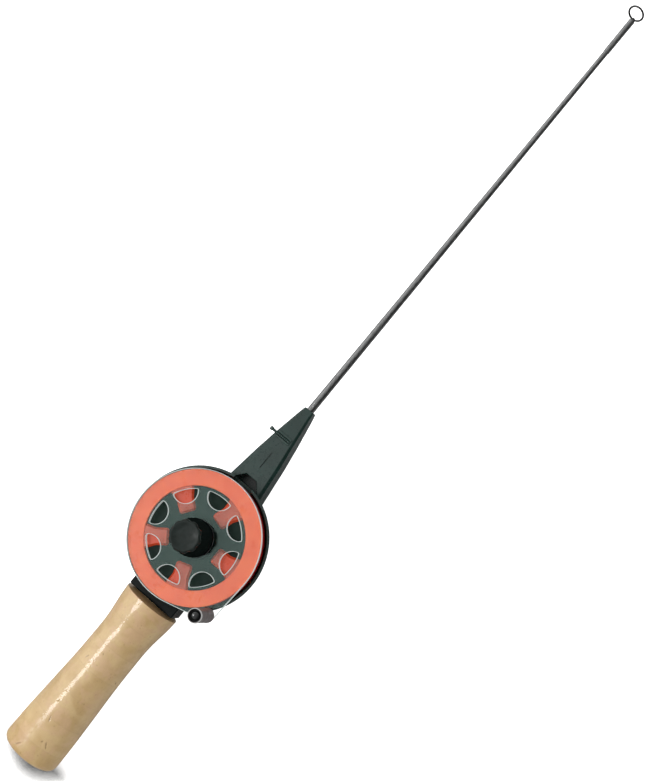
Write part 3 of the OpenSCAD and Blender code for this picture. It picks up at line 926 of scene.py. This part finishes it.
# Down a tab's sides: how far out, and how high over the hub's face.
TAB_SLOPE = ((0.9, 0.01), (0.35, 0.6), (0.12, 0.88), (0.0, 1.0))
SKIRT_DRAFT = 0.3
HUB_FACE_Z = ring_high.z - 1.3


def spool_hub():
    """The drum, its front disc and the hollow boss that holds the bushing."""
    back, front, face_r = hub_low.z, hub_high.z, hub_high.y
    web = flange_high.z
    outline = filleted([
        (4.0, back, 0), (7.0, back, 0.2), (7.0, web, 0), (DRUM_R, web, 0.3),
        (DRUM_R, HUB_FACE_Z - 1.8, 0.5), (face_r, HUB_FACE_Z - 1.8, 0.3), (face_r, HUB_FACE_Z, 0.3),
        (9.5, HUB_FACE_Z, 0.15), (9.5, front, 0.15), (4.0, front, 0)])
    fit(turned("spool_hub_body", outline, 128), "spool", ["hub"], ["spool_hub"])


def ring_tab(index):
    """One inward tab of the front ring: wider towards the ring, with sloping sides."""
    half, wide, root = TAB_W / 2, TAB_ROOT_W / 2, RING_IN_R + 0.7
    bend = (TAB_IN_R + RING_IN_R) / 2
    outline = filleted([(TAB_IN_R, -half, 0.6), (bend, -half, 4), (root, -wide, 0), (root, wide, 0),
                        (bend, half, 4), (TAB_IN_R, half, 0.6)], 6)
    levels = [[(p.x, p.y, HUB_FACE_Z + height) for p in inset(outline, -out)] for out, height in TAB_SLOPE]
    tab = mesh_object("tab", *skin(levels))
    tab.data.transform(Matrix.Rotation(radians(TAB_ANGLE + 360 / TAB_COUNT * index), 4, "Z"))
    return tab


def spool_ring():
    """The orange ring with its skirt and tabs."""
    out_r, top, low = (ring_high.y - ring_low.y) / 2, ring_high.z, ring_low.z
    outline = filleted([
        (RING_IN_R, top - 1.8, 0.2), (out_r - 1.5, top - 1.8, 0.4), (out_r - 1.5, low, 0.3),
        (out_r - SKIRT_DRAFT, low, 0.4), (out_r, top, 0.3), (RING_IN_R, top, 0.35)])
    obj = turned("spool_front_rim", outline, 160)
    for i in range(TAB_COUNT):
        combine(obj, ring_tab(i), "UNION")
    fit(obj, "spool", ["orange"], ["spool_front_ring"])


def spool_flange():
    """The spool's rear flange."""
    low, high, out_r = flange_low.z, flange_high.z, flange_high.y
    outline = filleted([(7.05, low, 0), (out_r, low, 0.35), (out_r, high, 0.5), (7.05, high, 0)])
    fit(turned("spool_rear_disc", outline, 160), "spool", ["orange"],
        ["spool_rear_flange"])


# ---------------- crank plate and its knob

PLATE_R = 31.3
PLATE_EDGE = 0.16
PLATE_BORE_R = 2.55
PIN_BORE_R = 1.26
LUG_R = 2.9
WINDOWS = 8
WINDOW_ANGLE = 5.9
WINDOW_R = 5.9
WINDOW_MID_R = 21.6
WINDOW_OUT_R = 22.0


def softened(loop, passes):
    """A closed loop with its corners eased."""
    for _ in range(passes):
        loop = [(loop[i - 1] + 2 * loop[i] + loop[(i + 1) % len(loop)]) / 4 for i in range(len(loop))]
    return loop


def window_loop(index):
    """A half-round window, clockwise: a circle cut off by a larger one about the axle."""
    x = (WINDOW_MID_R ** 2 - WINDOW_R ** 2 + WINDOW_OUT_R ** 2) / (2 * WINDOW_MID_R)
    y = sqrt(WINDOW_OUT_R ** 2 - x * x)
    inner, outer = atan2(y, x - WINDOW_MID_R), atan2(y, x)
    loop = arc(WINDOW_R, inner, tau - inner, 44, (WINDOW_MID_R, 0))
    loop += arc(WINDOW_OUT_R, -outer, outer, 26)[1:-1]
    rotate = Matrix.Rotation(radians(WINDOW_ANGLE + 360 / WINDOWS * index), 2)
    return [rotate @ p for p in softened(loop, 2)][::-1]


def plate_outline():
    """The round plate with its lug, anticlockwise, joined by straight tangents."""
    arm = HANDLE_AT.length
    tilt = acos((PLATE_R - LUG_R) / arm)
    round_part = arc(PLATE_R, CRANK_ANGLE + tilt, CRANK_ANGLE + tau - tilt, 150)
    lug = arc(LUG_R, CRANK_ANGLE - tilt, CRANK_ANGLE + tilt, 24, HANDLE_AT)
    return round_part + lug


def crank_plate():
    """The clear teardrop plate with its windows and two bores."""
    loops = [plate_outline()] + [window_loop(i) for i in range(WINDOWS)]
    loops += [round_hole(PLATE_BORE_R, 48), round_hole(PIN_BORE_R, 32, HANDLE_AT)]
    obj = slab("crank_plate_clear", loops, plate_low.z, plate_high.z, PLATE_EDGE, 4, rim_slot=1)
    fit(obj, "crank", ["clear", "clear_edge_glow"], ["crank_plate"])


def crank_handle():
    """The waisted barrel knob with its dished end."""
    low, high, r = handle_low.z, handle_high.z, HANDLE_R
    waist = r - 0.18
    bore, dish, deep = 1.31, 2.75, 1.8
    outline = filleted([
        (bore, low, 0), (r - 0.1, low, 0.4), (r, low + 1.6, 0.5), (waist, low + 3.4, 2.0),
        (waist - 0.02, high - 3.2, 2.0), (r - 0.05, high - 1.5, 0.5), (r - 0.1, high, 0.5),
        (dish + 0.2, high, 0.25), (dish, high - deep, 0.3), (bore, high - deep, 0)], 5)
    obj = turned("crank_knob_barrel", outline, 64, HANDLE_AT)
    fit(obj, "crank_knob", ["handle"], ["crank_knob"])


def crank_pin():
    """The rivet: a flared foot behind the plate, a shaft and a domed head in the knob's dish."""
    low, high = (corner.z for corner in box("crank_knob_pin"))
    head, seat = handle_high.z - 1.75, plate_low.z
    shaft, head_r, head_edge = 1.25, 2.15, 0.25
    outline = [(0, low), (1.5, low), (1.75, low + 0.15), (2.1, seat), (shaft, seat), (shaft, head),
               (head_r, head)]
    outline += [(head_r * cos(a), head + head_edge + (high - head - head_edge) * sin(a))
                for a in (pi / 2 * k / 8 for k in range(8))]
    outline.append((0, high))
    obj = turned("crank_knob_rivet", outline, 48, HANDLE_AT)
    fit(obj, "crank", ["rivet"], ["crank_knob_pin"])


# ---------------- drag knob

KNOB_BASE_R = 8.9
KNOB_FACE_R = 7.5
FLUTES = 10
FLUTE_DEPTH = 0.55
KNOB_STEPS = 240


def knob_ring(radius, height, flute=0.0, flats=0):
    """A ring of the drag knob: fluted, round, or with flats."""
    ring = []
    for k in range(KNOB_STEPS):
        angle = tau * k / KNOB_STEPS
        r = radius - flute * (0.5 - 0.5 * cos(FLUTES * angle)) ** 1.6
        if flats:
            step = tau / flats
            r = radius / cos(angle % step - step / 2)
        ring.append((r * cos(angle), r * sin(angle), height))
    return ring


def drag_knob():
    """The fluted, tapering knob: rim, sides, rounded edge and sunk face, hollow for the nut."""
    low, high = knob_low.z, knob_high.z
    nut_low, nut_high = (corner.z for corner in box("drag_knob_nut"))
    base, face, edge, steps = KNOB_BASE_R, KNOB_FACE_R, 1.1, 6
    rim = [(base - 0.3, low), (base, low + 0.3), (base, low + 0.9), (base - 0.2, low + 1.2)]
    rings = [knob_ring(*place) for place in rim]
    sides, foot, foot_r = 14, low + 1.3, base - 0.1
    for k in range(sides + 1):
        t = k / sides
        rings.append(knob_ring(foot_r + (face - foot_r) * t, foot + (high - edge - foot) * t,
                               FLUTE_DEPTH * min(1, 0.35 + 3 * t)))
    for k in range(1, steps + 1):
        angle = pi / 2 * k / steps
        rings.append(knob_ring(face - 1 + cos(angle), high - edge + edge * sin(angle),
                               FLUTE_DEPTH * (1 - 0.7 * k / steps)))
    sunk = [(face - 1.6, high - 0.04), (face - 2.1, high - 0.22), (3.5, high - 0.42), (1.5, high - 0.46)]
    rings += [knob_ring(*place) for place in sunk] + [[(0, 0, high - 0.47)]]
    well, well_r, nut_r, skirt_r = nut_high + 2.2, 3.0, 4.02, 6.3
    inner = [[(0, 0, well)], knob_ring(well_r, well), knob_ring(well_r, nut_high),
             knob_ring(nut_r, nut_high, flats=6), knob_ring(nut_r, nut_low, flats=6),
             knob_ring(skirt_r, nut_low), knob_ring(skirt_r, low)]
    obj = mesh_object("drag_knob_cap", *skin(inner + rings))
    fit(obj, "drag_knob", ["knob"], ["drag_knob"], crease=40)


def drag_spring():
    """The open coil spring, which stretches from its seat to the cap washer."""
    low, high = box("drag_spring")
    wire, mid, turns, steps = 0.45, 4.7, 3.5, 36
    count = int(turns * steps)
    rise = (high.z - low.z - 2 * wire) / count
    path = [(mid * cos(tau * k / steps), mid * sin(tau * k / steps),
             low.z + wire + rise * k) for k in range(count + 1)]
    ends = ((0, 0, low.z * MM), (0, 0, high.z * MM))
    fit(tube("drag_spring_coil", path, wire), "rod", ["steel"], ["drag_spring"],
        stretch=("spring_cap", *ends))


# ---------------- whip and tip

def whip():
    """The tapered rod, very slightly uneven in its lacquer."""
    low, high = whip_low.x, whip_high.x
    thick, thin = (whip_high.z - whip_low.z) / 2, 1.2
    outline = [(low, 0), (low, thick - 0.2), (low + 0.2, thick)]
    steps = 90
    for k in range(steps + 1):
        x = NECK_TIP_X + (high - NECK_TIP_X) * k / steps
        wave = 0.012 * sin(k * 1.9) + 0.01 * sin(k * 0.7)
        outline.append((x, thick + (thin - thick) * k / steps + (wave if k else 0)))
    outline.append((high, 0))
    fit(turned_on_rod("whip_rod", outline, 40), "rod", ["whip"], ["whip_blank"])


def tip_sleeve():
    """The sleeve on the whip's thin end, bored for the whip and for the wire."""
    low, high = sleeve_low.x, sleeve_high.x
    r = (sleeve_high.z - sleeve_low.z) / 2
    outline = filleted([(low, 1.3, 0), (low, 1.42, 0.05), (low + 9, r - 0.04, 3), (high - 0.6, r, 0.3),
                        (high, r - 0.35, 0.2), (high, 0.3, 0), (high - 3.6, 0.3, 0),
                        (high - 3.7, 1.26, 0)], 3)
    fit(turned_on_rod("tip_sleeve_tube", outline), "rod", ["sleeve"], ["tip_sleeve"])


def tip_loop():
    """One wire bent into a ring that stands up from the sleeve, its two legs side by side."""
    wire, opening, steps, tip = 0.5, 0.24, 72, sleeve_high.x
    radius = (loop_high.y - loop_low.y) / 2 - wire
    lean = asin(min(1.0, (loop_high.z - wire - AXIS_Z) / (2 * radius)))
    ahead, side = Vector((cos(lean), 0, sin(lean))), Vector((0, 1, 0))
    centre = Vector((tip + 0.4, 0, AXIS_Z)) + ahead * radius
    angles = [pi + opening + (tau - 2 * opening) * k / steps for k in range(steps + 1)]
    path = [centre + radius * (ahead * cos(a) + side * sin(a)) for a in angles]
    leg, bend = Vector((tip - 3.0, -0.46, AXIS_Z)), Vector((tip - 0.1, -0.5, AXIS_Z + 0.02))
    mirrored = [Vector((p.x, -p.y, p.z)) for p in (bend, leg)]
    path = [leg, bend] + path + mirrored
    obj = tube("tip_loop_wire", path, wire)
    drop = turned_on_rod("drop", [(tip - 0.5, 0), (tip - 0.5, 1.1), (tip + 0.1, 1.15), (tip + 0.8, 0.75),
                                  (tip + 1.2, 0.3), (tip + 1.3, 0)])
    combine(obj, drop, "UNION")
    fit(obj, "rod", ["wire"], ["tip_ring"], crease=60)


# ---------------- carried-over CAD nodes

CARRIED = {
    "steel": ["reel_axle", "axle_washer", "axle_nut", "plate_pressure_washer", "spring_cap_washer"],
    "brass": ["hub_bushing", "drag_knob_nut"],
    "felt": ["drag_felt_washer"],
}


def dress_carried():
    """Gives the CAD nodes that stay in the picture their looks."""
    for look, names in CARRIED.items():
        for name in names:
            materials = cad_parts[name].data.materials
            materials.clear()
            materials.append(LOOKS[look])


# ---------------- camera, light and floor

CAMERA_TARGET = Vector((88.34, 0.64, AXIS_Z))
CAMERA_SIDE = Vector((0.0046, -0.2214, 0.9752))
CAMERA_DISTANCE = 700
CAMERA_LENS = 70.13
CAMERA_ROLL = radians(50.49)
KEY_SIDE = Vector((-0.243, 0.448, 0.860))
KEY_DISTANCE = 1200
KEY_SIZE = 300
KEY_RADIANCE = 15
# How bright each part of the studio is in the light it casts, and in what it mirrors.
LOW_SKY = (0.4, 0.1)
NEAR_SIDE = (0.8, 0.12)
FAR_SIDE = (0.45, 1.4)
FLOOR_R = 6000
FLOOR_GLOW = 0.95
FLOOR_SHADE_REACH = 30
FLOOR_BOUNCE = (0.95, 0.95, 0.95)
FLOOR_MIRRORED = (0.4, 0.4, 0.4)


def add_camera():
    """Looks down at the rod, which lies across the picture towards its upper right corner."""
    data = bpy.data.cameras.new("camera")
    data.lens, data.sensor_width, data.sensor_fit = CAMERA_LENS, 36, "AUTO"
    data.clip_start, data.clip_end = 0.01, 50
    camera = placed("camera", data)
    back = CAMERA_SIDE.normalized()
    level = (Vector((1, 0, 0)) - back * back.x).normalized()
    turn = Matrix((level, back.cross(level), back)).transposed() @ Matrix.Rotation(-CAMERA_ROLL, 3, "Z")
    camera.matrix_world = Matrix.Translation((CAMERA_TARGET + back * CAMERA_DISTANCE) * MM) @ turn.to_4x4()
    bpy.context.scene.camera = camera


def add_key_light():
    """A square softbox that draws the bright streak along the grip."""
    aim = Vector(((COLLAR_BACK_X + BUTT_X) / 2, 0, AXIS_Z))
    data = bpy.data.lights.new("key", "AREA")
    data.shape, data.size = "SQUARE", KEY_SIZE * MM
    data.energy = KEY_RADIANCE * pi * (KEY_SIZE * MM) ** 2
    lamp = placed("key", data)
    side = KEY_SIDE.normalized()
    lamp.matrix_world = (Matrix.Translation((aim + side * KEY_DISTANCE) * MM)
                         @ side.to_track_quat("Z", "Y").to_matrix().to_4x4())


def add_world():
    """A white studio with a broad bright side beyond the rod: even in the light it casts, dark on
    the near side and low down in what it mirrors, and plain white to the camera."""
    world = bpy.data.worlds.new("studio")
    bpy.context.scene.world = world
    world.use_nodes = True
    studio = Nodes(world.node_tree)
    parts = studio.node("ShaderNodeSeparateXYZ")
    studio.link(studio.node("ShaderNodeTexCoord").outputs["Generated"], parts.inputs[0])
    path = studio.node("ShaderNodeLightPath")
    low, near, far = (studio.mix(path.outputs["Is Glossy Ray"], cast, mirrored, "FLOAT")
                      for cast, mirrored in (LOW_SKY, NEAR_SIDE, FAR_SIDE))

    def ramp(axis, from_value, to_value, start, end):
        return studio.spread(parts.outputs[axis], from_value, to_value, start, end, "SMOOTHSTEP")

    sky = studio.times(ramp("Z", low, 1.0, -0.1, 0.85), ramp("Y", near, 1.0, -0.7, 0.1))
    total = studio.maths("ADD", sky, ramp("Y", 0.0, far, 0.3, 0.8))
    shown = studio.mix(path.outputs["Is Camera Ray"], total, 1.0, "FLOAT")
    studio.link(shown, studio.tree.nodes["Background"].inputs["Color"])


def add_floor():
    """A plain white surface that glows to the camera and shades only beyond the butt."""
    look = Look("floor", 0.7, Specular_IOR_Level=0.2, Emission_Color=(1, 1, 1, 1))
    nearness = look.node("ShaderNodeAmbientOcclusion", samples=16)
    nearness.inputs["Distance"].default_value = FLOOR_SHADE_REACH * MM
    shaded = look.times(look.spread(nearness.outputs["AO"], 1, 0, 0.78, 0.91),
                        look.within(look.axis("X"), BUTT_X - 2, BUTT_X + 6))
    path = look.node("ShaderNodeLightPath")
    seen = look.maths("MAXIMUM", path.outputs["Is Camera Ray"], path.outputs["Is Transmission Ray"])
    plain = look.mix(look.spread(look.noise(300, 3), 0, 1), (0.92, 0.92, 0.92), (0.945, 0.945, 0.945))
    unseen = look.mix(path.outputs["Is Glossy Ray"], FLOOR_BOUNCE, FLOOR_MIRRORED)
    look.colour(look.mix(seen, unseen, look.mix(shaded, plain, (0.03, 0.03, 0.03))))
    glow = look.times(look.spread(shaded, FLOOR_GLOW, 0, 0, 1), seen)
    look.link(glow, look.shader.inputs["Emission Strength"])
    rim = [(x, y, 0) for x, y in circle(FLOOR_R, 64)]
    floor = mesh_object("floor", rim, [list(range(len(rim)))])
    floor.data.materials.append(look.material)


def set_picture():
    """Shows the materials' colours as they are."""
    bpy.context.scene.view_settings.view_transform = "Standard"
    bpy.context.scene.view_settings.look = "None"


# ---------------- build

add_camera()
add_world()
add_key_light()
add_floor()
set_picture()

cork_grip()
reel_frame()
rear_cap()
line_keeper()
spool_hub()
spool_ring()
spool_flange()
crank_plate()
crank_handle()
crank_pin()
drag_knob()
drag_spring()
whip()
tip_sleeve()
tip_loop()
dress_carried()
